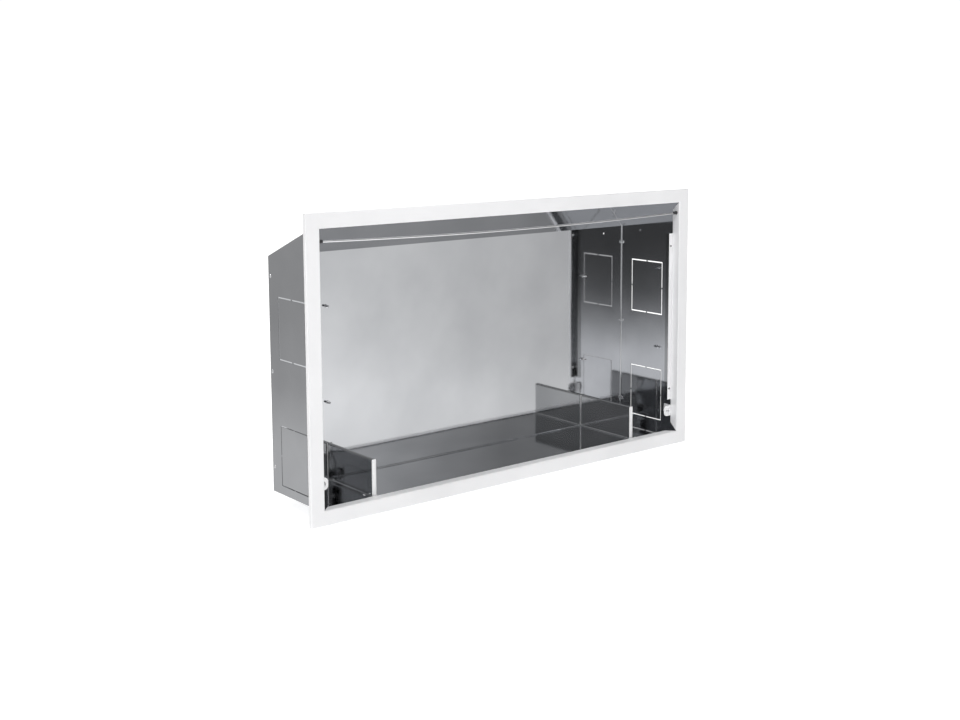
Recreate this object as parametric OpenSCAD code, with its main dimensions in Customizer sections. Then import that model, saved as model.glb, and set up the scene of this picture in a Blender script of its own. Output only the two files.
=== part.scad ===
// Recessed wall cabinet with a flat trim flange, a sloping top and knock-out plates in both sides.
// Right is +X, the back of the recess is +Y and up is +Z. All sizes are in millimetres.
// The origin is the middle of the footprint, level with the lower edge of the flange.

/* [Trim flange] */
// Overall width of the flange
flange_w = 914; // [800:1:1100]
// Overall height of the flange
flange_h = 533; // [480:1:620]
// Width of the flat border around the opening
border = 27; // [20:0.5:34]
// Thickness of the flange sheet
flange_t = 1.5; // [1:0.1:2]
// Depth of the rim turned back around the outside of the flange
rim_d = 8; // [5:0.5:12]
// Depth of the lips turned into the opening at the bottom and the sides
lip_d = 18.5; // [14:0.5:22]
// Depth of the shorter lip at the top, which clears the sloping panel
top_lip_d = 9; // [6:0.5:10]

/* [Cabinet body] */
// Depth from the front of the flange to the back of the cabinet
body_d = 169; // [150:1:220]
// Thickness of the body sheet
sheet = 1.2; // [0.8:0.1:1.6]
// Height of the sloping top above the flange's lower edge, at the front
top_front_z = 514; // [512:1:516]
// Fall of the sloping top from front to back
top_fall = 70; // [55:1:80]
// Width of the flanges that the back panel turns forward along its sides
return_w = 10; // [8:0.5:14]

/* [Knock-outs] */
// Width of each knock-out, along the depth of the cabinet
knock_w = 90; // [70:1:100]
// Height of each lower knock-out
knock_low_h = 109; // [90:1:112]
// Height of each upper knock-out
knock_up_h = 112; // [90:1:116]
// Distance from the front of the flange to the knock-outs
knock_y = 48; // [44:1:56]
// Height of the lower edge of the lower knock-outs
knock_low_z = 40; // [36:1:46]
// Height of the lower edge of the upper knock-outs
knock_up_z = 266; // [250:1:280]
// Width of the slot cut around each lower knock-out
slot_low_w = 1.6; // [1.2:0.1:3]
// Width of the slot cut around each upper knock-out
slot_up_w = 2.4; // [1.2:0.1:3]
// Width of the bridge left in the middle of each side of a knock-out
bridge_w = 3; // [2:0.5:5]

/* [Dividers] */
// Distance between the middles of the two dividers
divider_gap = 632; // [560:1:660]
// Thickness of each folded divider
divider_t = 9; // [7:0.5:12]
// Height of each divider above the floor
divider_h = 67; // [50:1:80]
// Distance from the front of the flange to the dividers
divider_y = 21; // [20:0.5:30]
// Width of the foot that each divider turns outwards on the floor
foot_w = 11; // [8:0.5:14]

/* [Cover fittings] */
// Width of the stop angles' front leg
stop_w = 11.5; // [9:0.5:14]
// Lower end of the stop angles
stop_low_z = 92; // [85:1:110]
// Upper end of the stop angles
stop_high_z = 441; // [400:1:445]
// Length of each leg that lies along a side wall
leg_l = 19; // [14:1:24]
// Height of the lower hole in each stop angle
stop_hole_low_z = 115; // [100:1:130]
// Height of the upper hole in each stop angle
stop_hole_high_z = 415; // [380:1:430]
// Radius of the holes in the stop angles
stop_hole_r = 2.1; // [1.5:0.05:2.25]
// Width of each cover bracket
bracket_w = 20; // [18:0.5:24]
// Height of each cover bracket
bracket_h = 22; // [18:0.5:26]
// Height of the middle of each cover bracket
bracket_z = 68; // [62:1:74]

/* [Rod] */
// Diameter of the rod across the head of the opening
rod_dia = 4; // [3:0.5:5]
// Height of the ends of the rod
rod_z = 484; // [478:1:488]
// Sag of the rod at mid-span
rod_sag = 7; // [3:0.5:9]
// Distance of the rod behind the front of the flange
rod_y = 9; // [8:0.5:11]

/* [Back wall] */
// Distance between the left and right studs
stud_span_x = 636; // [560:1:680]
// Height of the lower studs
stud_low_z = 169; // [150:1:190]
// Height of the upper studs
stud_high_z = 347; // [320:1:360]
// Length of each stud in front of the back panel
stud_l = 10; // [8:1:24]
// Distance between the two fixing holes near the top of the back panel
fix_span_x = 754; // [700:1:780]
// Height of the two fixing holes
fix_z = 433; // [425:1:435]
// Radius of the fixing holes
fix_r = 1.75; // [1.5:0.25:3.5]

/* [Hidden] */
$fn = 48;

satin = [0.90, 0.90, 0.91];
bright = [0.62, 0.63, 0.65];
dark = [0.16, 0.16, 0.17];

open_x = flange_w / 2 - border;          // half width of the opening
wall_x = open_x + flange_t;              // inner face of each side wall
floor_z = border - flange_t;             // upper face of the floor
open_top_z = flange_h - border;
back_y = body_d - sheet;                 // inner face of the back wall
top_slope = top_fall / body_d;
top_sheet = sheet * sqrt(1 + top_slope * top_slope);   // sheet measured straight down
back_top_z = top_front_z - top_fall;
knock_middle_y = knock_y + knock_w / 2;
bracket_r = 8;                           // corner radius of the brackets
bracket_t = 1.5;
screw_r = 2;
screw_hole_r = 2.1;
screw_x = wall_x - bracket_w / 2 - 0.5;
rivet_r = 1.6;
rivet_hole_r = 1.7;
rivet_head_r = 3.2;
rivet_head_h = 1.1;
corner_rivet_y = back_y - 4.7;
corner_rivet_z = [70, 242, 412];
divider_rivet_y = [38, 156];
socket_r = 3.6;
socket_l = 10;
socket_bore_r = rod_dia / 2 + 0.6;
rod_half = open_x - 1;                   // half length of the rod
stud_r = 2;

// Height of the outer face of the sloping top at depth y.
function top_z(y) = top_front_z - top_slope * y;

// The parts are drawn from the front of the flange and moved to the middle of the footprint.
module placed() {
    translate([0, -body_d / 2, 0]) children();
}

// The same part on the left (side = -1) or on the right (side = 1).
module on_side(side) {
    placed() mirror([side < 0 ? 1 : 0, 0, 0]) children();
}

// A plate of thickness t standing in the YZ plane, from x towards +X, drawn with points [y, z].
module side_plate(x, t, points) {
    translate([x, 0, 0]) rotate([90, 0, 90]) linear_extrude(height = t) polygon(points);
}

// A round hole or shank along X, centred on x = 0.
module along_x(r, length) {
    rotate([0, 90, 0]) cylinder(r = r, h = length, center = true);
}

// A round hole or shank along Y that starts at y = 0.
module along_y(r, length) {
    rotate([-90, 0, 0]) cylinder(r = r, h = length);
}

module trim_flange() {
    color(satin) placed() {
        // Flat border around the opening, with its rim turned back around the outside.
        difference() {
            translate([-flange_w / 2, 0, 0]) cube([flange_w, rim_d, flange_h]);
            translate([-open_x, -1, border]) cube([2 * open_x, rim_d + 2, flange_h - 2 * border]);
            translate([flange_t - flange_w / 2, flange_t, flange_t])
                cube([flange_w - 2 * flange_t, rim_d, flange_h - 2 * flange_t]);
        }
        lip_across(floor_z, lip_d);
        lip_across(open_top_z, top_lip_d);
        for (side = [0, 1]) mirror([side, 0, 0]) side_lip();
    }
}

// A lip along the bottom or the top of the opening, with mitred ends.
module lip_across(z, depth) {
    translate([0, 0, z]) linear_extrude(height = flange_t)
        polygon([[-open_x, 0], [open_x, 0], [open_x, flange_t], [open_x - depth, depth],
            [depth - open_x, depth], [-open_x, flange_t]]);
}

// The lip down the right side of the opening, with mitred ends and a seat hole for the rod.
module side_lip() {
    difference() {
        side_plate(open_x, flange_t, [[0, border], [flange_t, border], [lip_d, border + lip_d],
            [lip_d, open_top_z - lip_d], [flange_t, open_top_z], [0, open_top_z]]);
        translate([open_x, rod_y, rod_z]) along_x(socket_bore_r, 4 * flange_t);
    }
}

// Outline of a side wall, as points [y, z].
function wall_outline() = [[flange_t, floor_z - sheet], [body_d, floor_z - sheet],
    [body_d, back_top_z], [flange_t, top_z(flange_t)]];

module side_panel() {
    color(bright) difference() {
        side_plate(wall_x, sheet, wall_outline());
        for (k = [[knock_low_z, knock_low_h], [knock_up_z, knock_up_h]])
            translate([wall_x - 1, knock_y, k[0]]) cube([sheet + 2, knock_w, k[1]]);
        for (z = corner_rivet_z)
            translate([wall_x, corner_rivet_y, z]) along_x(rivet_hole_r, 6);
    }
}

// A knock-out plate inside its slot, held by one bridge in the middle of each side.
module knockout(z, h, slot) {
    color(bright) {
        translate([wall_x, knock_y + slot, z + slot])
            cube([sheet, knock_w - 2 * slot, h - 2 * slot]);
        translate([wall_x, knock_middle_y - bridge_w / 2, z]) cube([sheet, bridge_w, h]);
        translate([wall_x, knock_y, z + h / 2 - bridge_w / 2]) cube([sheet, knock_w, bridge_w]);
    }
}

module back_panel() {
    color(bright) placed() difference() {
        union() {
            side_plate(-wall_x, 2 * wall_x, [[back_y, floor_z - sheet], [body_d, floor_z - sheet],
                [body_d, back_top_z], [back_y, top_z(back_y)]]);
            for (side = [0, 1]) mirror([side, 0, 0])
                side_plate(wall_x - sheet, sheet, [[back_y - return_w, floor_z], [body_d, floor_z],
                    [body_d, back_top_z - top_sheet],
                    [back_y - return_w, top_z(back_y - return_w) - top_sheet]]);
        }
        for (side = [-1, 1]) {
            translate([side * fix_span_x / 2, back_y - 2, fix_z]) along_y(fix_r, 6);
            for (z = corner_rivet_z)
                translate([side * wall_x, corner_rivet_y, z]) along_x(rivet_hole_r, 6);
        }
    }
}

module floor_panel() {
    color(bright) placed() difference() {
        translate([-wall_x, flange_t, floor_z - sheet]) cube([2 * wall_x, back_y - flange_t, sheet]);
        for (side = [-1, 1], y = divider_rivet_y)
            translate([side * foot_x(), y, floor_z - 3]) cylinder(r = rivet_hole_r, h = 6);
    }
}

module sloping_top_panel() {
    color(bright) placed() side_plate(-wall_x, 2 * wall_x, [[flange_t, top_z(flange_t)],
        [back_y, top_z(back_y)], [back_y, top_z(back_y) - top_sheet],
        [flange_t, top_z(flange_t) - top_sheet]]);
}

// Middle of a divider's foot, where its rivets are.
function foot_x() = divider_gap / 2 + divider_t / 2 + foot_w / 2;

// A folded divider, open underneath, with a foot turned outwards on the floor.
module divider() {
    length = back_y - divider_y;
    color(bright) translate([divider_gap / 2 - divider_t / 2, divider_y, floor_z]) {
        difference() {
            cube([divider_t, length, divider_h]);
            translate([sheet, sheet, -1]) cube([divider_t - 2 * sheet, length, divider_h - sheet + 1]);
        }
        difference() {
            translate([divider_t, 0, 0]) cube([foot_w, length, sheet]);
            for (y = divider_rivet_y)
                translate([divider_t + foot_w / 2, y - divider_y, -1]) cylinder(r = rivet_hole_r, h = 4);
        }
    }
}

// Angle down the side wall behind the lip, whose front leg stops the cover.
module stop_angle() {
    color(satin) difference() {
        translate([0, 0, stop_low_z]) linear_extrude(height = stop_high_z - stop_low_z)
            polygon([[wall_x - stop_w, lip_d], [wall_x, lip_d], [wall_x, lip_d + leg_l],
                [wall_x - sheet, lip_d + leg_l], [wall_x - sheet, lip_d + sheet],
                [wall_x - stop_w, lip_d + sheet]]);
        for (z = [stop_hole_low_z, stop_hole_high_z])
            translate([stop_hole_x(), lip_d - 1, z]) along_y(stop_hole_r, 4);
    }
}

function stop_hole_x() = wall_x - sheet - (stop_w - sheet) / 2;

// Bracket at the foot of the side wall, with a round-cornered front tab for the cover's screw.
module cover_bracket() {
    low_z = bracket_z - bracket_h / 2;
    color(satin) difference() {
        union() {
            translate([wall_x - bracket_w + bracket_r, lip_d, low_z])
                cube([bracket_w - bracket_r, bracket_t, bracket_h]);
            translate([wall_x - bracket_w, lip_d, low_z + bracket_r])
                cube([bracket_w, bracket_t, bracket_h - 2 * bracket_r]);
            for (z = [low_z + bracket_r, low_z + bracket_h - bracket_r])
                translate([wall_x - bracket_w + bracket_r, lip_d, z]) along_y(bracket_r, bracket_t);
            translate([wall_x - bracket_t, lip_d, low_z]) cube([bracket_t, leg_l, bracket_h]);
        }
        translate([screw_x, lip_d - 1, bracket_z]) along_y(screw_hole_r, bracket_t + 2);
    }
}

// Round-headed screw and washer that hold the cover against the bracket.
module cover_screw() {
    head_r = 3.8;
    head_h = 2.4;
    washer_r = 4.6;
    washer_t = 0.8;
    color(bright) translate([screw_x, lip_d, bracket_z]) {
        along_y(screw_r, 11);
        translate([0, -washer_t, 0]) along_y(washer_r, washer_t);
        rotate([90, 0, 0]) translate([0, 0, washer_t]) rotate_extrude()
            difference() {
                translate([0, head_h - head_r * 1.6]) circle(r = head_r * 1.6);
                translate([-20, -40]) square([20, 80]);
                translate([-1, -40]) square([40, 40]);
                translate([head_r, -1]) square([20, 40]);
            }
    }
}

// Clinch nut pressed into the back of the bracket around the screw.
module cover_nut() {
    color(bright) translate([screw_x, lip_d + bracket_t, bracket_z]) difference() {
        along_y(4, 4.5);
        translate([0, -1, 0]) along_y(screw_hole_r, 7);
    }
}

// Height of the rod's middle line at a distance x from the middle of the cabinet.
function rod_line_z(x) = rod_z - rod_sag * (1 - (x / rod_half) * (x / rod_half));

// Rod that hangs in a shallow curve between its two sockets, as rings joined along its length.
module head_rod() {
    stations = 24;
    sides = 16;
    last = (stations - 1) * sides;
    function ring_point(i, k) = let (x = rod_half * (2 * i / (stations - 1) - 1), a = 360 * k / sides)
        [x, rod_y + rod_dia / 2 * cos(a), rod_line_z(x) + rod_dia / 2 * sin(a)];
    points = [for (i = [0 : stations - 1], k = [0 : sides - 1]) ring_point(i, k)];
    walls = [for (i = [0 : stations - 2], k = [0 : sides - 1])
        let (a = i * sides + k, b = i * sides + (k + 1) % sides) [a, a + sides, b + sides, b]];
    ends = [[for (k = [0 : sides - 1]) k], [for (k = [0 : sides - 1]) last + sides - 1 - k]];
    color(bright) placed() polyhedron(points = points, faces = concat(walls, ends));
}

// Socket on the side lip that holds one end of the rod.
module rod_socket() {
    color(dark) translate([open_x - socket_l / 2, rod_y, rod_z]) difference() {
        along_x(socket_r, socket_l);
        along_x(socket_bore_r, socket_l + 2);
    }
}

module back_wall_studs() {
    collar_r = 3;
    collar_h = 1;
    color(dark) placed() for (x = [-1, 1], z = [stud_low_z, stud_high_z])
        translate([x * stud_span_x / 2, back_y - stud_l, z]) {
            along_y(stud_r, stud_l);
            translate([0, stud_l - collar_h, 0]) along_y(collar_r, collar_h);
        }
}

// Rivet along +Z with a flat head at each end, gripping a thickness that ends at z = 0.
module rivet(grip) {
    translate([0, 0, -grip - rivet_head_h]) cylinder(r = rivet_r, h = grip + 2 * rivet_head_h);
    cylinder(r = rivet_head_r, h = rivet_head_h);
    translate([0, 0, -grip - rivet_head_h]) cylinder(r = rivet_head_r, h = rivet_head_h);
}

module corner_rivets() {
    color(bright) for (z = corner_rivet_z)
        translate([wall_x + sheet, corner_rivet_y, z]) rotate([0, 90, 0]) rivet(2 * sheet);
}

module divider_rivets() {
    color(bright) for (y = divider_rivet_y)
        translate([foot_x(), y, floor_z + sheet]) rivet(2 * sheet);
}

trim_flange();
back_panel();
on_side(-1) side_panel();  // left_side_panel
on_side(1) side_panel();  // right_side_panel
floor_panel();
sloping_top_panel();
on_side(-1) divider();  // left_divider
on_side(1) divider();  // right_divider
on_side(-1) knockout(knock_low_z, knock_low_h, slot_low_w);  // left_lower_knockout
on_side(-1) knockout(knock_up_z, knock_up_h, slot_up_w);  // left_upper_knockout
on_side(1) knockout(knock_low_z, knock_low_h, slot_low_w);  // right_lower_knockout
on_side(1) knockout(knock_up_z, knock_up_h, slot_up_w);  // right_upper_knockout
on_side(-1) stop_angle();  // left_stop_angle
on_side(1) stop_angle();  // right_stop_angle
on_side(-1) cover_bracket();  // left_cover_bracket
on_side(1) cover_bracket();  // right_cover_bracket
on_side(-1) cover_screw();  // left_cover_screw
on_side(1) cover_screw();  // right_cover_screw
on_side(-1) cover_nut();  // left_cover_nut
on_side(1) cover_nut();  // right_cover_nut
head_rod();
on_side(-1) rod_socket();  // left_rod_socket
on_side(1) rod_socket();  // right_rod_socket
back_wall_studs();
on_side(-1) corner_rivets();  // left_corner_rivets
on_side(1) corner_rivets();  // right_corner_rivets
on_side(-1) divider_rivets();  // left_divider_rivets
on_side(1) divider_rivets();  // right_divider_rivets
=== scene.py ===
"""Looks of the recessed wall cabinet. Everything is in metres, in the frame of the CAD model."""

import math

import bmesh
import bpy
from mathutils import Matrix, Vector
from mathutils.geometry import tessellate_polygon


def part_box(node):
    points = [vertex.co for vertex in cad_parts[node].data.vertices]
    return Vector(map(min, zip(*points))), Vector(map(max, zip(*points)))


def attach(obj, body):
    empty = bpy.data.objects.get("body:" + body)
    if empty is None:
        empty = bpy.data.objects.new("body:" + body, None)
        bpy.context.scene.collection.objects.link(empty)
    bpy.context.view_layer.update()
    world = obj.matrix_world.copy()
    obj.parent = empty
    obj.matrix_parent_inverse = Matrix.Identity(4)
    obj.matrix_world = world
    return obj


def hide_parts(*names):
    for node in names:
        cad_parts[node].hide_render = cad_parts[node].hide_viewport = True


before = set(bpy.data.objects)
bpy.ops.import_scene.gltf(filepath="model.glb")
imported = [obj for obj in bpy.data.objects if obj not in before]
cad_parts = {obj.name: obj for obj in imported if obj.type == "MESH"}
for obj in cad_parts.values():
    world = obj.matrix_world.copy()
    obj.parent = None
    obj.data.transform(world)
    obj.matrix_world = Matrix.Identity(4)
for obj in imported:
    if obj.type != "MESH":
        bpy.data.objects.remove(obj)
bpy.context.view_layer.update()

MM = 0.001

# Places and sizes that the frame gives. Depths run along +Y, from the front of the flange.
flange_low, flange_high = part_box("trim_flange")
wall_low, wall_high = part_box("right_side_panel")
floor_low, floor_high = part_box("floor_panel")
top_low, top_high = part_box("sloping_top_panel")
FRONT_Y = flange_low.y
HALF_W = flange_high.x
HEIGHT = flange_high.z
LIP_Y = flange_high.y
OPEN_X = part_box("right_rod_socket")[1].x
BORDER = HALF_W - OPEN_X
WALL_X = wall_low.x
SHEET = wall_high.x - wall_low.x
FLANGE_T = WALL_X - OPEN_X
FLOOR_Z = floor_high.z
BACK_Y = floor_high.y
BODY_BACK_Y = wall_high.y
TOP_FRONT_Z = top_high.z
TOP_BACK_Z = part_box("back_panel")[1].z
TOP_SLOPE = (TOP_FRONT_Z - TOP_BACK_Z) / (BACK_Y - FRONT_Y - FLANGE_T)
TOP_SHEET = SHEET * math.sqrt(1 + TOP_SLOPE ** 2)

# Sizes that the frame's boxes don't show.
RIM_D = 8 * MM
TOP_LIP_D = 9 * MM
BEND = 0.6 * MM
EDGE = 0.22 * MM
RETURN_W = 10 * MM
SLOT_W = {"lower": 1.6 * MM, "upper": 2.4 * MM}
BRIDGE_W = 3 * MM
RIVET_HOLE_R = 1.7 * MM
FOOT_W = 11 * MM
STOP_HOLE_R = 2.1 * MM
SCREW_HOLE_R = 2.1 * MM
STOP_HOLE_IN_LOW = 23 * MM
STOP_HOLE_IN_HIGH = 26 * MM
FIX_R = 1.75 * MM
FIX_SPAN = 754 * MM
FIX_Z = 433 * MM
CORNER_BEND = 2.5 * MM
DIVIDER_BEND = 1.2 * MM
SEAM_R = 2.2 * MM
SEAM_TUCK = 0.3 * MM
SHANK_R = 2 * MM
THREAD_PITCH = 0.7 * MM

# An outline of (y, z) points made solid along +X, and one of (x, z) points made solid along -Y.
ALONG_X = Matrix(((0, 0, 1, 0), (1, 0, 0, 0), (0, 1, 0, 0), (0, 0, 0, 1)))
ALONG_Y = Matrix(((1, 0, 0, 0), (0, 0, -1, 0), (0, 1, 0, 0), (0, 0, 0, 1)))


# ---------------------------------------------------------------- shapes

def arc(centre, radius, start, end, steps):
    """Points of an arc around centre, from one angle in degrees to another, both included."""
    angles = [math.radians(start + (end - start) * i / steps) for i in range(steps + 1)]
    return [(centre[0] + radius * math.cos(a), centre[1] + radius * math.sin(a)) for a in angles]


def circle(centre, radius, steps=24):
    """A closed round outline."""
    return arc(centre, radius, 0, 360, steps)[:-1]


def rectangle(low, high, radius=0.0, steps=4):
    """A rectangle between two corners, with round corners if radius is above 0."""
    if radius <= 0:
        return [(low[0], low[1]), (high[0], low[1]), (high[0], high[1]), (low[0], high[1])]
    x = (low[0] + radius, high[0] - radius)
    y = (low[1] + radius, high[1] - radius)
    return (arc((x[0], y[0]), radius, 180, 270, steps) + arc((x[1], y[0]), radius, 270, 360, steps)
            + arc((x[1], y[1]), radius, 0, 90, steps) + arc((x[0], y[1]), radius, 90, 180, steps))


def folded(points, thickness, bend=BEND, steps=5):
    """Outline of a sheet folded along an open line through its middle, with a round bend at each corner."""
    line = [Vector(p) for p in points]
    half = thickness / 2
    left, right = [], []
    for i, p in enumerate(line):
        if i in (0, len(line) - 1):
            run = (line[1] - line[0]) if i == 0 else (line[-1] - line[-2])
            normal = Vector((-run.y, run.x)).normalized() * half
            left.append(p + normal)
            right.append(p - normal)
            continue
        back, ahead = (line[i - 1] - p).normalized(), (line[i + 1] - p).normalized()
        opening = back.angle(ahead) / 2
        middle_r = bend + half
        centre = p + (back + ahead).normalized() * middle_r / math.sin(opening)
        first = p + back * middle_r / math.tan(opening) - centre
        last = p + ahead * middle_r / math.tan(opening) - centre
        turn = math.atan2(first.x * last.y - first.y * last.x, first.dot(last))
        outward = 1 if turn > 0 else -1
        for k in range(steps + 1):
            ray = Matrix.Rotation(turn * k / steps, 2) @ first.normalized()
            left.append(centre + ray * (middle_r - outward * half))
            right.append(centre + ray * (middle_r + outward * half))
    return [tuple(p) for p in left + right[::-1]]


def prism(outline, depth, holes=()):
    """A closed solid from an outline with holes, in the XY plane, made solid along +Z."""
    loops = [list(outline), *[list(hole) for hole in holes]]
    flat = [(x, y) for loop in loops for x, y in loop]
    bm = bmesh.new()
    low = [bm.verts.new((x, y, 0)) for x, y in flat]
    high = [bm.verts.new((x, y, depth)) for x, y in flat]
    caps = [range(len(flat))]
    if holes:
        caps = tessellate_polygon([[Vector((x, y, 0)) for x, y in loop] for loop in loops])
    for cap in caps:
        bm.faces.new([low[i] for i in cap])
        bm.faces.new([high[i] for i in reversed(cap)])
    start = 0
    for loop in loops:
        for i in range(len(loop)):
            a, b = start + i, start + (i + 1) % len(loop)
            bm.faces.new((low[a], low[b], high[b], high[a]))
        start += len(loop)
    bmesh.ops.recalc_face_normals(bm, faces=bm.faces)
    return bm


def turned(profile, sides=32, thread=None):
    """A solid turned about +Z from (radius, height) points.

    thread(radius, height, share), if given, changes the radius at a share of the turn."""
    bm = bmesh.new()
    rings = []
    for radius, height in profile:
        if radius < 1e-7:
            rings.append([bm.verts.new((0, 0, height))] * sides)
            continue
        ring = []
        for k in range(sides):
            r = thread(radius, height, k / sides) if thread else radius
            angle = 2 * math.pi * k / sides
            ring.append(bm.verts.new((r * math.cos(angle), r * math.sin(angle), height)))
        rings.append(ring)
    for low, high in zip(rings, rings[1:]):
        for k in range(sides):
            corners = [low[k], low[(k + 1) % sides], high[(k + 1) % sides], high[k]]
            bm.faces.new(list(dict.fromkeys(corners)))
    for ring in (rings[0], rings[-1]):
        if ring[0] is not ring[1]:
            bm.faces.new(ring)
    bmesh.ops.recalc_face_normals(bm, faces=bm.faces)
    return bm


def ring_turned(profile, sides=32):
    """A solid turned about +Z from a closed (radius, height) outline, open along its axis."""
    bm = bmesh.new()
    rings = []
    for radius, height in profile:
        angles = [2 * math.pi * k / sides for k in range(sides)]
        rings.append([bm.verts.new((radius * math.cos(a), radius * math.sin(a), height)) for a in angles])
    for low, high in zip(rings, rings[1:] + rings[:1]):
        for k in range(sides):
            bm.faces.new((low[k], low[(k + 1) % sides], high[(k + 1) % sides], high[k]))
    bmesh.ops.recalc_face_normals(bm, faces=bm.faces)
    return bm


def threaded(radius, low, high, pitch, sides=24, per_turn=6):
    """A threaded shank between two heights, with a chamfered tip at the high end."""
    depth = 0.55 * pitch
    chamfer = 1.2 * pitch
    count = int((high - low) / pitch * per_turn)
    heights = [low + (high - low) * i / count for i in range(count + 1)]

    def groove(r, height, share):
        wave = abs(((height / pitch - share) % 1.0) * 2 - 1)
        fade = min(1.0, (high - height) / chamfer)
        return r - depth * wave * min(1.0, (height - low) / pitch) - (1 - fade) * depth * 1.6

    return turned([(radius, h) for h in heights], sides, groove)


def seam(length):
    """A weld bead along +Z in the corner between the planes x = 0 and y = 0, on the side of -X and -Y."""
    return prism([(SEAM_TUCK, SEAM_TUCK)] + arc((0, 0), SEAM_R, 180, 270, 8), length)


def joined(parts):
    """One mesh from several, each given with the matrix that puts it in place."""
    whole = bmesh.new()
    for part, matrix in parts:
        part.transform(matrix)
        mesh = bpy.data.meshes.new("part")
        part.to_mesh(mesh)
        part.free()
        whole.from_mesh(mesh)
        bpy.data.meshes.remove(mesh)
    return whole


def moved(x=0.0, y=0.0, z=0.0):
    """Matrix that moves by so much."""
    return Matrix.Translation((x, y, z))


def facing(direction, place):
    """Matrix that turns +Z towards direction and moves the origin to place."""
    turn = Vector((0, 0, 1)).rotation_difference(Vector(direction)).to_matrix().to_4x4()
    return Matrix.Translation(place) @ turn


def temporary(bm):
    """An object that holds bm for a boolean."""
    mesh = bpy.data.meshes.new("temporary")
    bm.to_mesh(mesh)
    bm.free()
    made = bpy.data.objects.new("temporary", mesh)
    bpy.context.scene.collection.objects.link(made)
    return made


def shaped(body, tools, operation="DIFFERENCE"):
    """body with each tool taken away from it, or kept only where both are."""
    target = temporary(body)
    helpers = [temporary(tool) for tool in tools]
    for helper in helpers:
        step = target.modifiers.new("cut", "BOOLEAN")
        step.operation = operation
        step.object = helper
        step.solver = "EXACT"
    bpy.context.view_layer.update()
    mesh = bpy.data.meshes.new_from_object(target.evaluated_get(bpy.context.evaluated_depsgraph_get()))
    made = bmesh.new()
    made.from_mesh(mesh)
    bpy.data.meshes.remove(mesh)
    for helper in [target, *helpers]:
        data = helper.data
        bpy.data.objects.remove(helper)
        bpy.data.meshes.remove(data)
    bmesh.ops.remove_doubles(made, verts=made.verts, dist=1e-6)
    return made


def solid_boxes(node, axes, gap=10 * MM):
    """Boxes of the separate solids of a node, which lie further apart than gap along one of the axes."""
    clumps = [[v.co.copy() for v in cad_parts[node].data.vertices]]
    for axis in axes:
        parts = []
        for clump in clumps:
            clump.sort(key=lambda p: p[axis])
            start = 0
            for i in range(1, len(clump) + 1):
                if i == len(clump) or clump[i][axis] - clump[i - 1][axis] > gap:
                    parts.append(clump[start:i])
                    start = i
        clumps = parts
    return [(Vector(map(min, zip(*clump))), Vector(map(max, zip(*clump)))) for clump in clumps]


# ---------------------------------------------------------------- materials

def new_material(name):
    """A material, its shader and helpers that add and join nodes."""
    material = bpy.data.materials.new(name)
    material.use_nodes = True
    tree = material.node_tree
    shader = tree.nodes["Principled BSDF"]

    def add(kind, **values):
        node = tree.nodes.new(kind)
        for key, value in values.items():
            setattr(node, key, value)
        return node

    return material, shader, add, tree.links.new


def noise(add, link, vector, scale, detail=2.0, roughness=0.5):
    """A noise texture of so many features to the metre."""
    node = add("ShaderNodeTexNoise")
    node.inputs["Scale"].default_value = scale
    node.inputs["Detail"].default_value = detail
    node.inputs["Roughness"].default_value = roughness
    link(vector, node.inputs["Vector"])
    return node.outputs["Fac"]


def stretched(add, link, vector, scale):
    """The coordinates scaled differently along each axis, for a grain."""
    node = add("ShaderNodeMapping")
    node.inputs["Scale"].default_value = scale
    link(vector, node.inputs["Vector"])
    return node.outputs["Vector"]


def ranged(add, link, value, low, high):
    """value, from 0.3 to 0.7, mapped to low to high."""
    node = add("ShaderNodeMapRange")
    for name, number in (("From Min", 0.3), ("From Max", 0.7), ("To Min", low), ("To Max", high)):
        node.inputs[name].default_value = number
    link(value, node.inputs["Value"])
    return node.outputs["Result"]


def tinted(add, link, value, dark, light):
    """A colour between two, by value from 0.3 to 0.7."""
    node = add("ShaderNodeValToRGB")
    node.color_ramp.elements[0].position = 0.3
    node.color_ramp.elements[0].color = (*dark, 1)
    node.color_ramp.elements[1].position = 0.7
    node.color_ramp.elements[1].color = (*light, 1)
    link(value, node.inputs["Fac"])
    return node.outputs["Color"]


def bumped(add, link, height, distance, below=None):
    """Bump of a height over a distance in metres, on top of the bump below."""
    node = add("ShaderNodeBump")
    node.inputs["Distance"].default_value = distance
    node.inputs["Strength"].default_value = 1.0
    link(height, node.inputs["Height"])
    if below:
        link(below, node.inputs["Normal"])
    return node.outputs["Normal"]


def steel(name, dark, light, rough, grain, grain_depth, wave_depth, metallic=1.0):
    """Sheet steel: rolled or brushed grain, faint clouds in colour and gloss, and a slow waviness."""
    material, shader, add, link = new_material(name)
    shader.inputs["Metallic"].default_value = metallic
    place = add("ShaderNodeTexCoord").outputs["Object"]
    lines = noise(add, link, stretched(add, link, place, grain), 1.0, 3.0, 0.6)
    clouds = noise(add, link, place, 7.0, 3.0)
    waves = noise(add, link, place, 4.0, 1.0, 0.4)
    link(tinted(add, link, clouds, dark, light), shader.inputs["Base Color"])
    gloss = add("ShaderNodeMath", operation="ADD")
    link(ranged(add, link, lines, 0.85 * rough, 1.15 * rough), gloss.inputs[0])
    link(ranged(add, link, clouds, -0.15 * rough, 0.15 * rough), gloss.inputs[1])
    link(gloss.outputs["Value"], shader.inputs["Roughness"])
    slow = bumped(add, link, waves, wave_depth)
    link(bumped(add, link, lines, grain_depth, slow), shader.inputs["Normal"])
    return material


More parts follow.
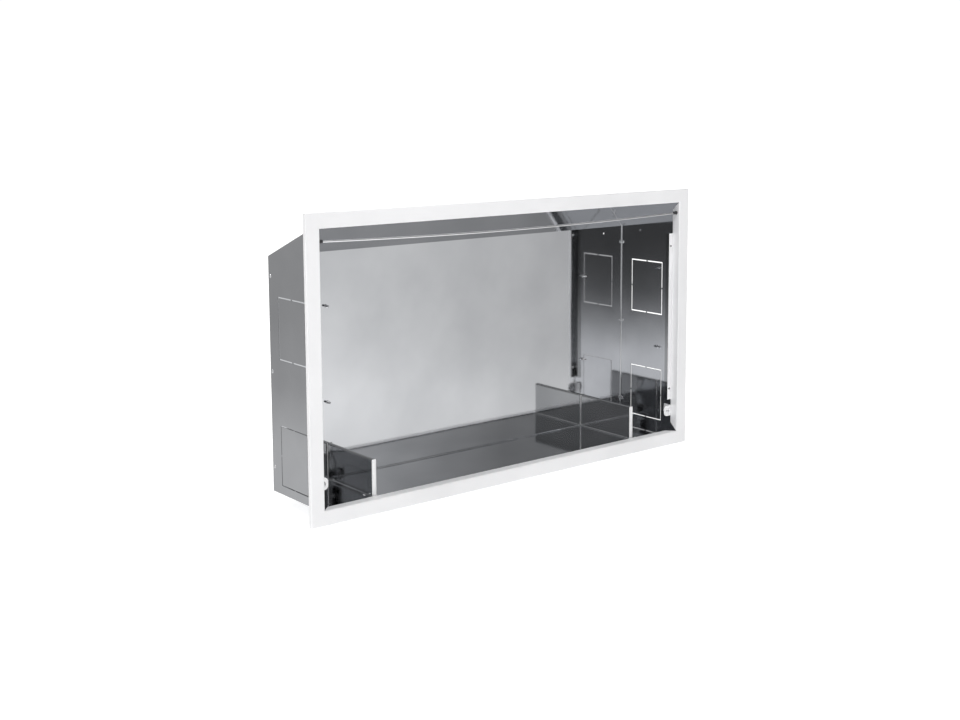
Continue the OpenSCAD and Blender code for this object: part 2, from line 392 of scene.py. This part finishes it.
def plastic(name, dark, light):
    """Moulded plastic with a fine spark-eroded grain."""
    material, shader, add, link = new_material(name)
    place = add("ShaderNodeTexCoord").outputs["Object"]
    spots = noise(add, link, place, 2200.0, 2.0)
    clouds = noise(add, link, place, 60.0, 2.0)
    link(tinted(add, link, clouds, dark, light), shader.inputs["Base Color"])
    link(ranged(add, link, spots, 0.42, 0.6), shader.inputs["Roughness"])
    link(bumped(add, link, spots, 0.02 * MM), shader.inputs["Normal"])
    return material


# Fineness of the grain along each axis: brushed along X, rolled along Z, or the same every way.
BRUSHED_X = (18, 900, 900)
BRUSHED_Z = (700, 700, 14)
FINE = (900, 900, 900)
SATIN = steel("satin_steel", (0.86, 0.86, 0.87), (0.92, 0.92, 0.93), 0.42, BRUSHED_X, 0.004 * MM, 0.25 * MM,
              metallic=0.3)
MIRROR = steel("bright_steel", (0.58, 0.59, 0.61), (0.67, 0.68, 0.70), 0.06, BRUSHED_Z, 0.002 * MM, 0.8 * MM)
# A darker copy of the bright steel, with the same gloss and grain: painted shade, used on the dividers and on
# the backs of the satin parts.
SHADE_PAINTED_STEEL = steel("shade_painted_steel", (0.40, 0.405, 0.41), (0.46, 0.465, 0.47), 0.06, BRUSHED_Z, 0.002 * MM,
               0.8 * MM)
PLATED = steel("fastener_steel", (0.74, 0.75, 0.77), (0.84, 0.84, 0.85), 0.2, FINE, 0.004 * MM, 0.1 * MM)
# Rougher steel for cut edges, with its colour darkened well below steel's: painted shade on the sheets' edges.
DULL_SHADE_PAINTED = steel("dull_shade_painted_steel", (0.20, 0.20, 0.21), (0.28, 0.28, 0.29), 0.35, FINE, 0.01 * MM, 0.1 * MM)
ROD_STEEL = steel("rod_steel", (0.80, 0.80, 0.82), (0.88, 0.88, 0.89), 0.10, (12, 1500, 1500), 0.004 * MM,
                  0.1 * MM)
STUD_STEEL = steel("stud_steel", (0.40, 0.40, 0.42), (0.52, 0.52, 0.53), 0.3, FINE, 0.006 * MM, 0.1 * MM)
SOCKET_PLASTIC = plastic("dark_plastic", (0.020, 0.020, 0.022), (0.035, 0.035, 0.038))


# ---------------------------------------------------------------- pieces

def piece(name, bm, material, slot, *nodes, edge=EDGE, side=1, second=None, takes_second=None):
    """A finished piece that stands for CAD nodes. side=-1 mirrors it to the left.

    The faces for whose normal takes_second is true get the second material."""
    if second:
        bm.normal_update()
        for face in bm.faces:
            face.material_index = int(takes_second(face.normal))
    if side < 0:
        bm.transform(Matrix.Scale(-1, 4, (1, 0, 0)))
        bmesh.ops.reverse_faces(bm, faces=bm.faces)
    for face in bm.faces:
        face.smooth = True
    mesh = bpy.data.meshes.new(name)
    bm.to_mesh(mesh)
    bm.free()
    mesh.materials.append(material)
    if second:
        mesh.materials.append(second)
    made = bpy.data.objects.new(name, mesh)
    bpy.context.scene.collection.objects.link(made)
    if edge > 0:
        bevel = made.modifiers.new("rounded_edges", "BEVEL")
        bevel.width = edge
        bevel.segments = 2
        bevel.limit_method = "ANGLE"
        bevel.angle_limit = math.radians(40)
    else:
        mesh.set_sharp_from_angle(angle=math.radians(40))
    weighted = made.modifiers.new("flat_faces", "WEIGHTED_NORMAL")
    weighted.keep_sharp = True
    weighted.weight = 100
    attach(made, "root")
    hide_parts(*nodes)
    return made


SIDES = ((1, "right"), (-1, "left"))


def flange_profile(lip_depth, steps=5):
    """Pairs of points across the flange sheet, from the rim's free edge round to the lip's.

    A point is (distance outwards from the opening, depth); the first of a pair is on the show side."""
    outer_r = FLANGE_T + BEND
    pairs = [((BORDER, RIM_D), (BORDER - FLANGE_T, RIM_D))]
    for i in range(steps + 1):
        c, s = math.cos(math.pi / 2 * i / steps), math.sin(math.pi / 2 * i / steps)
        pairs.append(((BORDER - outer_r + outer_r * c, outer_r - outer_r * s),
                      (BORDER - outer_r + BEND * c, outer_r - BEND * s)))
    for i in range(steps + 1):
        c, s = math.cos(math.pi / 2 * i / steps), math.sin(math.pi / 2 * i / steps)
        pairs.append(((outer_r - outer_r * s, outer_r - outer_r * c),
                      (outer_r - BEND * s, outer_r - BEND * c)))
    pairs.append(((0, lip_depth), (FLANGE_T, lip_depth)))
    return pairs


def trim_flange():
    """The border with its rim and four lips, as one folded sheet. The lips' ends are mitred at 45 degrees."""
    bm = bmesh.new()
    outer_r = FLANGE_T + BEND
    middle_z = HEIGHT / 2
    open_half_z = HEIGHT / 2 - BORDER
    lip_d = LIP_Y - FRONT_Y
    # Each side: half its length, half the opening across it, its lip, and the way out and along, in (x, z).
    runs = ((OPEN_X, open_half_z, lip_d, (0, -1), (1, 0)), (open_half_z, OPEN_X, lip_d, (1, 0), (0, 1)),
            (OPEN_X, open_half_z, TOP_LIP_D, (0, 1), (-1, 0)), (open_half_z, OPEN_X, lip_d, (-1, 0), (0, -1)))
    for length, across, lip, out, along in runs:
        ends = []
        for end in (-1, 1):
            pairs = []
            for pair in flange_profile(lip):
                corners = []
                for u, y in pair:
                    s = end * (length + u - max(0.0, y - outer_r) * (u < BORDER / 2))
                    corners.append(bm.verts.new((out[0] * (across + u) + along[0] * s, FRONT_Y + y,
                                                 middle_z + out[1] * (across + u) + along[1] * s)))
                pairs.append(corners)
            ends.append(pairs)
        first, second = ends
        last = len(first) - 1
        for i in range(last):
            for k in (0, 1):
                bm.faces.new((first[i][k], second[i][k], second[i + 1][k], first[i + 1][k]))
        for i in (0, last):
            bm.faces.new((first[i][0], second[i][0], second[i][1], first[i][1]))
        for pairs in ends:
            bm.faces.new((pairs[last - 1][0], pairs[last][0], pairs[last][1], pairs[last - 1][1]))
    bmesh.ops.remove_doubles(bm, verts=bm.verts, dist=1e-6)
    bmesh.ops.recalc_face_normals(bm, faces=bm.faces)
    # The faces that look backwards take the darker copy of the bright steel: mirror-like like a mill-finished
    # back, with painted shade on the flange's back and the lips' rear edges.
    piece("flange_trim", bm, SATIN, "satin_steel", "trim_flange",
          second=SHADE_PAINTED_STEEL, takes_second=lambda normal: normal.y > 0.5)


def top_z(y):
    """Height of the outer face of the sloping top at a depth y."""
    return TOP_FRONT_Z - TOP_SLOPE * (y - FRONT_Y - FLANGE_T)


def side_walls():
    """Both side walls, with windows for the knock-outs and holes for the rivets."""
    for side, word in SIDES:
        windows = []
        for level in ("lower", "upper"):
            low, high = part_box(f"{word}_{level}_knockout")
            windows.append(rectangle((low.y, low.z), (high.y, high.z), 0.8 * MM)[::-1])
        for low, high in solid_boxes(f"{word}_corner_rivets", (2,)):
            middle = (low + high) / 2
            windows.append(circle((middle.y, middle.z), RIVET_HOLE_R, 16)[::-1])
        front = FRONT_Y + FLANGE_T
        outline = [(front, FLOOR_Z - SHEET), (BODY_BACK_Y, FLOOR_Z - SHEET),
                   (BODY_BACK_Y, top_z(BODY_BACK_Y)), (front, top_z(front))]
        bm = prism(outline, SHEET, windows)
        bm.transform(moved(x=WALL_X) @ ALONG_X)
        # The wall's cut edges take the dark rough steel: painted shade along the edges, round the windows as
        # well.
        piece(f"{word}_wall", bm, MIRROR, "bright_steel", f"{word}_side_panel", side=side,
              second=DULL_SHADE_PAINTED, takes_second=lambda normal: abs(normal.x) < 0.5)


def knockouts():
    """The four knock-out plates, each held by a bridge in the middle of each side."""
    for side, word in SIDES:
        for level in ("lower", "upper"):
            name = f"{word}_{level}_knockout"
            low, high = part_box(name)
            y, z = (low.y + high.y) / 2, (low.z + high.z) / 2
            half_y, half_z = (high.y - low.y) / 2, (high.z - low.z) / 2
            slot = SLOT_W[level]
            in_y, in_z, bridge = half_y - slot, half_z - slot, BRIDGE_W / 2
            round_r = 1 * MM
            outline = []
            # Each quarter: a bridge's edge, the plate's round corner and the next bridge's edge.
            for turn in range(4):
                a, b, reach_a, reach_b = in_y, in_z, half_y, half_z
                if turn % 2:
                    a, b, reach_a, reach_b = in_z, in_y, half_z, half_y
                quarter = [(reach_a, bridge), (a, bridge), *arc((a - round_r, b - round_r), round_r, 0, 90, 4),
                           (bridge, b), (bridge, reach_b)]
                spin = Matrix.Rotation(turn * math.pi / 2, 2)
                outline += [tuple(Vector((y, z)) + spin @ Vector(point)) for point in quarter]
            bm = prism(outline, SHEET)
            bm.transform(moved(x=WALL_X) @ ALONG_X)
            # The plates' cut edges take the dark rough steel: painted shade in the slots.
            piece(f"{name}_plate", bm, MIRROR, "bright_steel", name, side=side, edge=0.15 * MM,
                  second=DULL_SHADE_PAINTED, takes_second=lambda normal: abs(normal.x) < 0.5)


def back_wall():
    """The back panel, with a flange folded forwards along each side and two fixing holes."""
    x, y = WALL_X - SHEET / 2, BACK_Y + SHEET / 2
    front = BACK_Y - RETURN_W
    low_z, high_z = FLOOR_Z - SHEET, TOP_BACK_Z
    bm = prism(folded([(-x, front), (-x, y), (x, y), (x, front)], SHEET, CORNER_BEND, 8), high_z - low_z)
    bm.transform(moved(z=low_z))
    reach = 2 * WALL_X
    under = prism([(front - SHEET, low_z - SHEET), (BACK_Y, low_z - SHEET), (BACK_Y, FLOOR_Z),
                   (front - SHEET, FLOOR_Z)], reach)
    over = prism([(front - SHEET, top_z(front - SHEET) - TOP_SHEET), (BACK_Y, top_z(BACK_Y) - TOP_SHEET),
                  (BACK_Y, high_z + SHEET), (front - SHEET, high_z + 2 * RETURN_W)], reach)
    tools = [under, over]
    for tool in tools:
        tool.transform(moved(x=-WALL_X) @ ALONG_X)
    for side, _ in SIDES:
        hole = turned([(FIX_R, -4 * SHEET), (FIX_R, 4 * SHEET)], 24)
        hole.transform(facing((0, 1, 0), (side * FIX_SPAN / 2, y, FIX_Z)))
        tools.append(hole)
    piece("back_wall", shaped(bm, tools), MIRROR, "bright_steel", "back_panel")


def floor_and_top():
    """The floor with its rivet holes, and the sloping top."""
    holes = []
    for side, word in SIDES:
        for low, high in solid_boxes(f"{word}_divider_rivets", (1,)):
            middle = (low + high) / 2
            holes.append(circle((middle.x, middle.y), RIVET_HOLE_R, 16)[::-1])
    outline = [(floor_low.x, floor_low.y), (floor_high.x, floor_low.y), (floor_high.x, floor_high.y),
               (floor_low.x, floor_high.y)]
    bm = prism(outline, SHEET, holes)
    bm.transform(moved(z=floor_low.z))
    along = seam(2 * (WALL_X - SHEET - CORNER_BEND))
    along.transform(moved(x=-(WALL_X - SHEET - CORNER_BEND), y=BACK_Y, z=FLOOR_Z)
                    @ Matrix.Rotation(math.pi / 2, 4, "Y"))
    bm = joined([(bm, Matrix.Identity(4)), (along, Matrix.Identity(4))])
    piece("floor_sheet", bm, MIRROR, "bright_steel", "floor_panel")
    front = top_low.y
    outline = [(front, top_z(front) - TOP_SHEET), (BACK_Y, top_z(BACK_Y) - TOP_SHEET),
               (BACK_Y, top_z(BACK_Y)), (front, top_z(front))]
    bm = prism(outline, 2 * WALL_X)
    bm.transform(moved(x=-WALL_X) @ ALONG_X)
    piece("top_sheet", bm, MIRROR, "bright_steel", "sloping_top_panel")


def dividers():
    """The folded dividers: a thin box, open underneath, with a foot turned outwards on the floor."""
    for side, word in SIDES:
        low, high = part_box("right_divider")
        x0, x1 = low.x + SHEET / 2, high.x - FOOT_W - SHEET / 2
        foot_z = low.z + SHEET / 2
        line = [(x0, low.z), (x0, high.z - SHEET / 2), (x1, high.z - SHEET / 2), (x1, foot_z),
                (high.x, foot_z)]
        section = prism(folded(line, SHEET, DIVIDER_BEND), high.y - low.y)
        section.transform(moved(y=high.y) @ ALONG_Y)
        nose = prism(rectangle((x0 + SHEET / 2, low.z), (x1 - SHEET / 2, high.z - SHEET)), SHEET)
        nose.transform(moved(y=low.y + SHEET) @ ALONG_Y)
        tools = []
        for rivet_low, rivet_high in solid_boxes("right_divider_rivets", (1,)):
            middle = (rivet_low + rivet_high) / 2
            tool = turned([(RIVET_HOLE_R, -3 * SHEET), (RIVET_HOLE_R, 3 * SHEET)], 16)
            tool.transform(moved(middle.x, middle.y, foot_z))
            tools.append(tool)
        up = seam(high.z - low.z)
        up.transform(moved(low.x, BACK_Y, low.z))
        back = seam(high.z - low.z)
        back.transform(moved(x1 + SHEET / 2, BACK_Y, low.z) @ Matrix.Rotation(math.pi / 2, 4, "Z"))
        along = seam(BACK_Y - low.y)
        along.transform(moved(low.x, low.y, FLOOR_Z) @ Matrix.Rotation(-math.pi / 2, 4, "X"))
        bm = joined([(part, Matrix.Identity(4)) for part in (shaped(section, tools), nose, up, back, along)])
        # The dividers are in the darker copy of the bright steel, which is painted shade; their front faces are
        # satin.
        piece(f"{word}_divider_fold", bm, SHADE_PAINTED_STEEL, "bright_steel", f"{word}_divider", side=side,
              second=SATIN, takes_second=lambda normal: normal.y < -0.9)


def stop_angles():
    """The angles down the side walls, with two holes in the front leg."""
    for side, word in SIDES:
        low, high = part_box("right_stop_angle")
        line = [(low.x, low.y + SHEET / 2), (high.x - SHEET / 2, low.y + SHEET / 2),
                (high.x - SHEET / 2, high.y)]
        bm = prism(folded(line, SHEET), high.z - low.z)
        bm.transform(moved(z=low.z))
        tools = []
        for z in (low.z + STOP_HOLE_IN_LOW, high.z - STOP_HOLE_IN_HIGH):
            tool = turned([(STOP_HOLE_R, -2 * SHEET), (STOP_HOLE_R, 2 * SHEET)], 20)
            tool.transform(facing((0, 1, 0), ((low.x + high.x - SHEET) / 2, low.y, z)))
            tools.append(tool)
        # All but the front face take the darker copy of the bright steel: painted shade on the side leg, the
        # back and the ends.
        piece(f"{word}_stop", shaped(bm, tools), SATIN, "satin_steel", f"{word}_stop_angle", side=side,
              second=SHADE_PAINTED_STEEL, takes_second=lambda normal: normal.y > -0.5)


def cover_fittings():
    """The brackets at the foot of the side walls, with their screws, washers and clinch nuts."""
    screw_low, screw_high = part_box("right_cover_screw")
    nut_low, nut_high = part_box("right_cover_nut")
    low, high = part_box("right_cover_bracket")
    thick = nut_low.y - low.y
    screw = (screw_low + screw_high) / 2
    for side, word in SIDES:
        line = [(low.x, low.y + thick / 2), (high.x - thick / 2, low.y + thick / 2),
                (high.x - thick / 2, high.y)]
        bm = prism(folded(line, thick), high.z - low.z)
        bm.transform(moved(z=low.z))
        corner = 8 * MM
        rounded = (arc((low.x + corner, low.z + corner), corner, 180, 270, 8) + [(high.x + MM, low.z)]
                   + [(high.x + MM, high.z)] + arc((low.x + corner, high.z - corner), corner, 90, 180, 8))
        keep = prism(rounded, 60 * MM)
        keep.transform(moved(y=high.y + 20 * MM) @ ALONG_Y)
        hole = turned([(SCREW_HOLE_R, -4 * thick), (SCREW_HOLE_R, 4 * thick)], 20)
        hole.transform(facing((0, 1, 0), (screw.x, low.y, screw.z)))
        bm = shaped(shaped(bm, [keep], "INTERSECT"), [hole])
        # The faces that look backwards take the darker copy of the bright steel: painted shade on the bracket's
        # back.
        piece(f"{word}_bracket", bm, SATIN, "satin_steel", f"{word}_cover_bracket", side=side,
              second=SHADE_PAINTED_STEEL, takes_second=lambda normal: normal.y > 0.5)

        head_r, washer_r, washer_t = 3.8 * MM, 4.6 * MM, 0.8 * MM
        head_h = low.y - screw_low.y - washer_t
        dome = [(head_r * math.cos(a), washer_t + head_h * (0.35 + 0.65 * math.sin(a)))
                for a in [math.pi / 2 * i / 8 for i in range(9)]]
        head = turned([(1.9 * MM, 0), (washer_r - 0.15 * MM, 0), (washer_r, 0.15 * MM),
                       (washer_r, washer_t - 0.15 * MM), (washer_r - 0.15 * MM, washer_t),
                       (head_r - 0.1 * MM, washer_t), (head_r, washer_t + 0.1 * MM)] + dome[:-1]
                      + [(0, washer_t + head_h)], 40)
        slots = []
        for turn in (0, 90):
            tool = prism(rectangle((-2.1 * MM, -0.4 * MM), (2.1 * MM, 0.4 * MM), 0.2 * MM, 2), 2 * MM)
            spin = Matrix.Rotation(math.radians(turn), 4, "Z")
            tool.transform(moved(z=washer_t + head_h - 1.1 * MM) @ spin)
            slots.append(tool)
        head = shaped(head, slots)
        head.transform(facing((0, -1, 0), (screw.x, low.y, screw.z)))
        shank = threaded(SHANK_R, 0, screw_high.y - low.y, THREAD_PITCH)
        shank.transform(facing((0, 1, 0), (screw.x, low.y, screw.z)))
        bm = joined([(head, Matrix.Identity(4)), (shank, Matrix.Identity(4))])
        piece(f"{word}_screw", bm, PLATED, "fasteners", f"{word}_cover_screw", side=side, edge=0)

        deep = nut_high.y - nut_low.y
        nut_r = (nut_high.x - nut_low.x) / 2
        bore = 2.1 * MM
        ring = ring_turned([(bore, 0.3 * MM), (bore + 0.3 * MM, 0), (nut_r, 0), (nut_r, 0.35 * deep),
                            (0.86 * nut_r, 0.45 * deep), (0.86 * nut_r, deep - 0.3 * MM),
                            (0.86 * nut_r - 0.3 * MM, deep), (bore + 0.3 * MM, deep),
                            (bore, deep - 0.3 * MM)], 40)
        ring.transform(facing((0, 1, 0), (screw.x, nut_low.y, screw.z)))
        piece(f"{word}_nut", ring, PLATED, "fasteners", f"{word}_cover_nut", side=side, edge=0)


def rod():
    """The rod across the head of the opening: it sags in a shallow curve, and its ends are rounded."""
    low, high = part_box("head_rod")
    radius = (high.y - low.y) / 2
    y = (low.y + high.y) / 2
    end_z, middle_z = high.z - radius, low.z + radius
    half = high.x
    stations, sides = 96, 24
    line = [(x, end_z - (end_z - middle_z) * (1 - (x / half) ** 2))
            for x in [half * (2 * i / stations - 1) for i in range(stations + 1)]]
    bm = bmesh.new()
    rings = []
    for i, (x, z) in enumerate(line):
        scales = [(0, 1)]
        if i in (0, stations):
            way = 1 if i == 0 else -1
            scales = [(0.0, 0.55), (0.35 * radius * way, 0.85), (0.8 * radius * way, 1)][::way]
        slope = 2 * (end_z - middle_z) * x / half ** 2
        across = Vector((-slope, 1)).normalized()
        for shift, scale in scales:
            ring = []
            for k in range(sides):
                a = 2 * math.pi * k / sides
                r = radius * scale
                ring.append(bm.verts.new((x + shift + across.x * r * math.sin(a), y + r * math.cos(a),
                                          z + slope * shift + across.y * r * math.sin(a))))
            rings.append(ring)
    for a, b in zip(rings, rings[1:]):
        for k in range(sides):
            bm.faces.new((a[k], a[(k + 1) % sides], b[(k + 1) % sides], b[k]))
    bm.faces.new(rings[0])
    bm.faces.new(rings[-1])
    bmesh.ops.recalc_face_normals(bm, faces=bm.faces)
    piece("rod", bm, ROD_STEEL, "rod_steel", "head_rod", edge=0)


def sockets():
    """Moulded sockets for the rod: a collar against the lip and a tapered nose."""
    low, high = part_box("right_rod_socket")
    middle = (low + high) / 2
    radius, length = (high.z - low.z) / 2, high.x - low.x
    bore = 2.5 * MM
    collar = 2.2 * MM
    profile = [(bore, 0), (radius - 0.3 * MM, 0), (radius, 0.3 * MM), (radius, collar - 0.3 * MM),
               (radius - 0.3 * MM, collar), (radius - 0.5 * MM, collar + 0.1 * MM),
               (0.84 * radius, length - 0.5 * MM), (0.84 * radius - 0.4 * MM, length), (bore, length)]
    for side, word in SIDES:
        bm = ring_turned(profile, 32)
        bm.transform(facing((-1, 0, 0), (high.x, middle.y, middle.z)))
        piece(f"{word}_socket", bm, SOCKET_PLASTIC, "dark_plastic", f"{word}_rod_socket", side=side, edge=0)


def studs():
    """Welded studs on the back wall, each with its weld collar."""
    parts = []
    for low, high in solid_boxes("back_wall_studs", (0, 2)):
        middle = (low + high) / 2
        length, collar_r = high.y - low.y, (high.x - low.x) / 2
        place = facing((0, -1, 0), (middle.x, high.y, middle.z))
        parts.append((threaded(SHANK_R, 0, length, THREAD_PITCH), place))
        collar = [(collar_r, 0), (collar_r, 0.5 * MM), (0.8 * collar_r, 1 * MM), (0, 1 * MM)]
        parts.append((turned(collar, 32), place))
    piece("studs", joined(parts), STUD_STEEL, "stud_steel", "back_wall_studs", edge=0)


def rivet_solid(head_r, length):
    """A rivet centred on the origin along +Z, with a domed head at each end."""
    head_h, shank_r = 1.1 * MM, 1.6 * MM
    half = length / 2
    dome = [(head_r * math.cos(a), half - head_h + 0.2 * MM + (head_h - 0.2 * MM) * math.sin(a))
            for a in [math.pi / 2 * i / 6 for i in range(7)]][:-1]
    top = [(shank_r, half - head_h), (head_r, half - head_h)] + dome + [(0, half)]
    bottom = [(r, -z) for r, z in reversed(top)]
    return turned(bottom + top, 24)


def rivets():
    """Rivets through the side walls into the back panel's flanges, and through the dividers' feet."""
    for side, word in SIDES:
        for kind, split, across in (("corner", (2,), (1, 0, 0)), ("divider", (1,), (0, 0, 1))):
            node = f"right_{kind}_rivets"
            parts = []
            for low, high in solid_boxes(node, split):
                size = high - low
                length = size.x if kind == "corner" else size.z
                parts.append((rivet_solid(size.y / 2, length), facing(across, (low + high) / 2)))
            piece(f"{word}_{kind}_rivet_set", joined(parts), PLATED, "fasteners", f"{word}_{kind}_rivets",
                  side=side, edge=0)


trim_flange()
side_walls()
knockouts()
back_wall()
floor_and_top()
dividers()
stop_angles()
cover_fittings()
rod()
sockets()
studs()
rivets()


# ---------------------------------------------------------------- studio

def floor():
    """A plain pale floor under the cabinet, left out of the steel's reflections."""
    half = 30
    mesh = bpy.data.meshes.new("studio_floor")
    corners = [(-half, -half, 0), (half, -half, 0), (half, half, 0), (-half, half, 0)]
    mesh.from_pydata(corners, [], [(0, 1, 2, 3)])
    made = bpy.data.objects.new("studio_floor", mesh)
    bpy.context.scene.collection.objects.link(made)
    material, shader, add, link = new_material("pale_floor")
    place = add("ShaderNodeTexCoord").outputs["Object"]
    clouds = noise(add, link, place, 1.5, 2.0)
    link(tinted(add, link, clouds, (0.90, 0.90, 0.90), (0.94, 0.94, 0.94)), shader.inputs["Base Color"])
    shader.inputs["Roughness"].default_value = 0.9
    shader.inputs["Emission Color"].default_value = (1, 1, 1, 1)
    shader.inputs["Emission Strength"].default_value = 0.55
    mesh.materials.append(material)
    made.visible_glossy = False


def world_light():
    """A soft studio: areas of light and dark by compass direction and height, and a white backdrop."""
    world = bpy.data.worlds.new("studio")
    bpy.context.scene.world = world
    world.use_nodes = True
    tree = world.node_tree
    tree.nodes.clear()

    def add(kind, **values):
        node = tree.nodes.new(kind)
        for key, value in values.items():
            setattr(node, key, value)
        return node

    def math_node(operation, first, second, third=None):
        node = add("ShaderNodeMath", operation=operation)
        for socket, value in zip(node.inputs, (first, second, third)):
            if isinstance(value, (int, float)):
                socket.default_value = value
            elif value is not None:
                tree.links.new(value, socket)
        return node.outputs["Value"]

    def profile(height, stops):
        """Brightness by height of the direction, from -1 to 1."""
        ramp = add("ShaderNodeValToRGB")
        ramp.color_ramp.interpolation = "EASE"
        elements = ramp.color_ramp.elements
        while len(elements) < len(stops):
            elements.new(0.5)
        for element, (z, value) in zip(elements, stops):
            element.position = (z + 1) / 2
            element.color = (value, value, value, 1)
        tree.links.new(math_node("MULTIPLY_ADD", height, 0.5, 0.5), ramp.inputs["Fac"])
        return ramp.outputs["Color"]

    def sector(azimuth, inner, outer):
        """1 within inner degrees of a compass azimuth (0 looks along +Y, 90 along +X), 0 beyond outer."""
        a = math.radians(azimuth)
        east, north = math_node("MULTIPLY", axis_x, math.sin(a)), math_node("MULTIPLY", axis_y, math.cos(a))
        dot = math_node("ADD", east, north)
        node = add("ShaderNodeMapRange", interpolation_type="SMOOTHSTEP")
        node.inputs["From Min"].default_value = math.cos(math.radians(outer))
        node.inputs["From Max"].default_value = math.cos(math.radians(inner))
        tree.links.new(dot, node.inputs["Value"])
        return node.outputs["Result"]

    def blend(share, first, second):
        node = add("ShaderNodeMix", data_type="RGBA")
        tree.links.new(share, node.inputs["Factor"])
        tree.links.new(first, node.inputs["A"])
        tree.links.new(second, node.inputs["B"])
        return node.outputs["Result"]

    def scaled(colour, factor):
        node = add("ShaderNodeVectorMath", operation="SCALE")
        tree.links.new(colour, node.inputs["Vector"])
        tree.links.new(factor, node.inputs["Scale"])
        return node.outputs["Vector"]

    def leaning(slope, base, low, high):
        """A factor that changes with the direction's x, kept between two values."""
        line = math_node("MULTIPLY_ADD", axis_x, slope, base)
        return math_node("MINIMUM", math_node("MAXIMUM", line, low), high)

    split = add("ShaderNodeSeparateXYZ")
    tree.links.new(add("ShaderNodeTexCoord").outputs["Generated"], split.inputs["Vector"])
    axis_x, axis_y, axis_z = (split.outputs[name] for name in "XYZ")

    # Each pair is the height of a direction and the brightness there.
    around = profile(axis_z, ((-1, 1.1), (-0.6, 1.1), (-0.4, 0.55), (0, 0.7), (0.3, 0.6), (0.6, 0.8), (1, 1.3)))
    low_right = profile(axis_z, ((-1, 1.5), (-0.64, 1.5), (-0.54, 0.41), (-0.42, 0.41), (-0.3, 0.58),
                                 (-0.225, 0.88), (-0.17, 0.74), (-0.12, 0.70), (0, 0.66)))
    low_right = scaled(low_right, leaning(-2.4, 2.46, 0.6, 1.4))
    high_right = profile(axis_z, ((0, 0.66), (0.08, 0.5), (0.16, 0.34), (0.3, 0.30), (0.4, 0.03), (0.92, 0.03),
                                  (1, 0.3)))
    high_right = scaled(high_right, leaning(-12.5, 8.5, 0.85, 1.8))
    front_right = blend(math_node("GREATER_THAN", axis_z, 0.0), low_right, high_right)
    front = profile(axis_z, ((-1, 1.0), (-0.3, 0.4), (-0.165, 0.15), (-0.14, 1.2), (-0.07, 1.2), (-0.02, 0.3),
                             (1, 0.4)))
    camera_side = profile(axis_z, ((-1, 0.6), (-0.3, 0.75), (-0.21, 0.95), (-0.18, 1.05), (-0.163, 0.42),
                                   (-0.137, 0.14), (-0.11, 0.08), (0.1, 0.06), (0.2, 0.22), (0.245, 0.32),
                                   (0.275, 0.1), (1, 0.3)))
    back_left = profile(axis_z, ((-1, 0.7), (-0.26, 0.58), (-0.2, 0.42), (-0.15, 0.36), (-0.07, 0.4), (0.5, 0.5),
                                 (1, 0.8)))
    left = profile(axis_z, ((-1, 0.8), (-0.3, 0.8), (-0.1, 2.0), (0.5, 2.0), (1, 1.5)))
    light = blend(sector(130, 42, 68), around, front_right)
    light = blend(sector(222, 22, 40), light, camera_side)
    light = blend(sector(181, 12, 26), light, front)
    light = blend(sector(272, 12, 28), light, left)
    light = blend(sector(322, 25, 46), light, back_left)

    shade = add("ShaderNodeBackground")
    tree.links.new(light, shade.inputs["Color"])
    white = add("ShaderNodeBackground")
    white.inputs["Color"].default_value = (1.0, 1.0, 1.0, 1)
    white.inputs["Strength"].default_value = 1.05
    pick = add("ShaderNodeMixShader")
    tree.links.new(add("ShaderNodeLightPath").outputs["Is Camera Ray"], pick.inputs["Fac"])
    tree.links.new(shade.outputs["Background"], pick.inputs[1])
    tree.links.new(white.outputs["Background"], pick.inputs[2])
    tree.links.new(pick.outputs["Shader"], add("ShaderNodeOutputWorld").inputs["Surface"])


def softbox(name, place, target, size, power):
    """A large soft light that faces target."""
    light = bpy.data.lights.new(name, "AREA")
    light.shape = "RECTANGLE"
    light.size, light.size_y = size
    light.energy = power
    made = bpy.data.objects.new(name, light)
    made.location = place
    made.rotation_euler = (Vector(target) - Vector(place)).to_track_quat("-Z", "Y").to_euler()
    bpy.context.scene.collection.objects.link(made)


def camera():
    """The camera stands to the left of the front and looks slightly down."""
    yaw, pitch, roll = math.radians(38.46), math.radians(-7.0), math.radians(-0.29)
    place = Vector((-1.571, -1.945, 0.7126))
    ahead = Vector((math.sin(yaw) * math.cos(pitch), math.cos(yaw) * math.cos(pitch), math.sin(pitch)))
    right = Vector((math.cos(yaw), -math.sin(yaw), 0))
    up = right.cross(ahead)
    turned_right = right * math.cos(roll) + up * math.sin(roll)
    turned_up = up * math.cos(roll) - right * math.sin(roll)
    data = bpy.data.cameras.new("camera")
    data.sensor_width = 36
    data.lens = 49.56
    data.shift_y = -0.1
    made = bpy.data.objects.new("camera", data)
    axes = Matrix((turned_right, turned_up, -ahead)).transposed().to_4x4()
    made.matrix_world = Matrix.Translation(place) @ axes
    bpy.context.scene.collection.objects.link(made)
    bpy.context.scene.camera = made


floor()
world_light()
softbox("key", (-0.6, -0.8, 2.4), (0, 0, 0.3), (0.8, 0.8), 26)
camera()
bpy.context.scene.view_settings.view_transform = "Standard"
